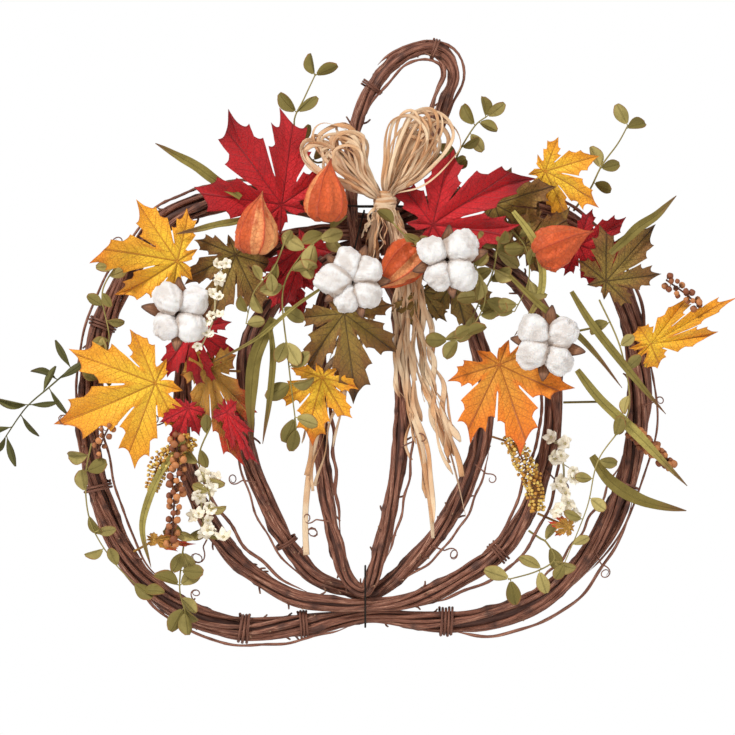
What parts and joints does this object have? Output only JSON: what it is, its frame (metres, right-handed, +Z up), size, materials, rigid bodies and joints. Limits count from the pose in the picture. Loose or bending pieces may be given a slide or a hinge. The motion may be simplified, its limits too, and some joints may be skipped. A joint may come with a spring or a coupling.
{
  "type": "door wreath",
  "caption": "Pumpkin-shaped grapevine door wreath dressed with autumn leaves, cotton bolls, lantern pods and a raffia bow.",
  "frame": {"origin": "underside of the outer hoop at the bottom of its dip at the top, where a door hook carries the wreath", "axes": "+X to the viewer's right across the pumpkin, +Y away from the viewer towards the door, +Z up"},
  "size_m": [0.6626, 0.1037, 0.5397],
  "materials": {
    "vine": "matte bark, wound strands",
    "tie_wire": "matt brown lacquered tying wire",
    "raffia": "dry natural raffia, faint sheen",
    "leaf_red": "printed woven leaf, matte, moulded veins",
    "leaf_yellow": "printed woven leaf, yellow centre to orange edge",
    "leaf_orange": "printed woven leaf, matte",
    "leaf_amber": "printed woven leaf, amber with red tips",
    "leaf_brown": "printed woven leaf, brown olive",
    "leaf_olive": "printed woven leaf, olive",
    "cotton": "soft cotton fibre",
    "lantern": "papery husk, matte",
    "sprig_leaf": "satin moulded leaves",
    "grass_blade": "satin blade, brown tips",
    "berry": "satin berries",
    "grain": "matte seed heads",
    "blossom": "soft matte petals"
  },
  "bodies": {
    "root": {"berry_spray_left": "berry", "berry_spray_right": "berry", "blossom_spray_left": "blossom", "blossom_spray_right": "blossom", "bottom_lashing": "tie_wire", "center_hoop": "vine", "cotton_boll_center_left": "cotton", "cotton_boll_center_right": "cotton", "cotton_boll_left": "cotton", "cotton_boll_right": "cotton", "eucalyptus_sprig_center": "sprig_leaf", "eucalyptus_sprig_center_right": "sprig_leaf", "eucalyptus_sprig_low_left": "sprig_leaf", "eucalyptus_sprig_low_right": "sprig_leaf", "eucalyptus_sprig_top_center": "sprig_leaf", "eucalyptus_sprig_top_left": "sprig_leaf", "eucalyptus_sprig_top_right": "sprig_leaf", "grain_head_left": "grain", "grain_head_right": "grain", "grass_blade_bottom_right": "grass_blade", "grass_blade_center_left": "grass_blade", "grass_blade_low_right": "grass_blade", "grass_blade_mid_right": "grass_blade", "grass_blade_top_left": "grass_blade", "grass_blade_top_right": "grass_blade", "inner_hoop": "vine", "lantern_pod_center": "lantern", "lantern_pod_center_left": "lantern", "lantern_pod_left": "lantern", "lantern_pod_right": "lantern", "maple_leaf_amber_left": "leaf_amber", "maple_leaf_brown_center": "leaf_brown", "maple_leaf_brown_left": "leaf_brown", "maple_leaf_brown_top_right": "leaf_brown", "maple_leaf_olive_center_right": "leaf_olive", "maple_leaf_olive_right": "leaf_olive", "maple_leaf_orange_right": "leaf_orange", "maple_leaf_red_center": "leaf_red", "maple_leaf_red_left": "leaf_red", "maple_leaf_red_right": "leaf_red", "maple_leaf_red_top_left": "leaf_red", "maple_leaf_red_top_right": "leaf_red", "maple_leaf_yellow_center": "leaf_yellow", "maple_leaf_yellow_far_right": "leaf_yellow", "maple_leaf_yellow_lower_left": "leaf_yellow", "maple_leaf_yellow_top_right": "leaf_yellow", "maple_leaf_yellow_upper_left": "leaf_yellow", "middle_hoop": "vine", "olive_sprig_far_left": "sprig_leaf", "outer_hoop": "vine", "raffia_knot": "raffia", "raffia_loop_left": "raffia", "raffia_loop_right": "raffia", "raffia_tail_left": "raffia", "raffia_tail_middle": "raffia", "raffia_tail_right": "raffia", "stem_lashing": "tie_wire", "stem_loop": "vine", "stem_root_lashing": "tie_wire", "top_lashing": "tie_wire"}
  },
  "joints": []
}
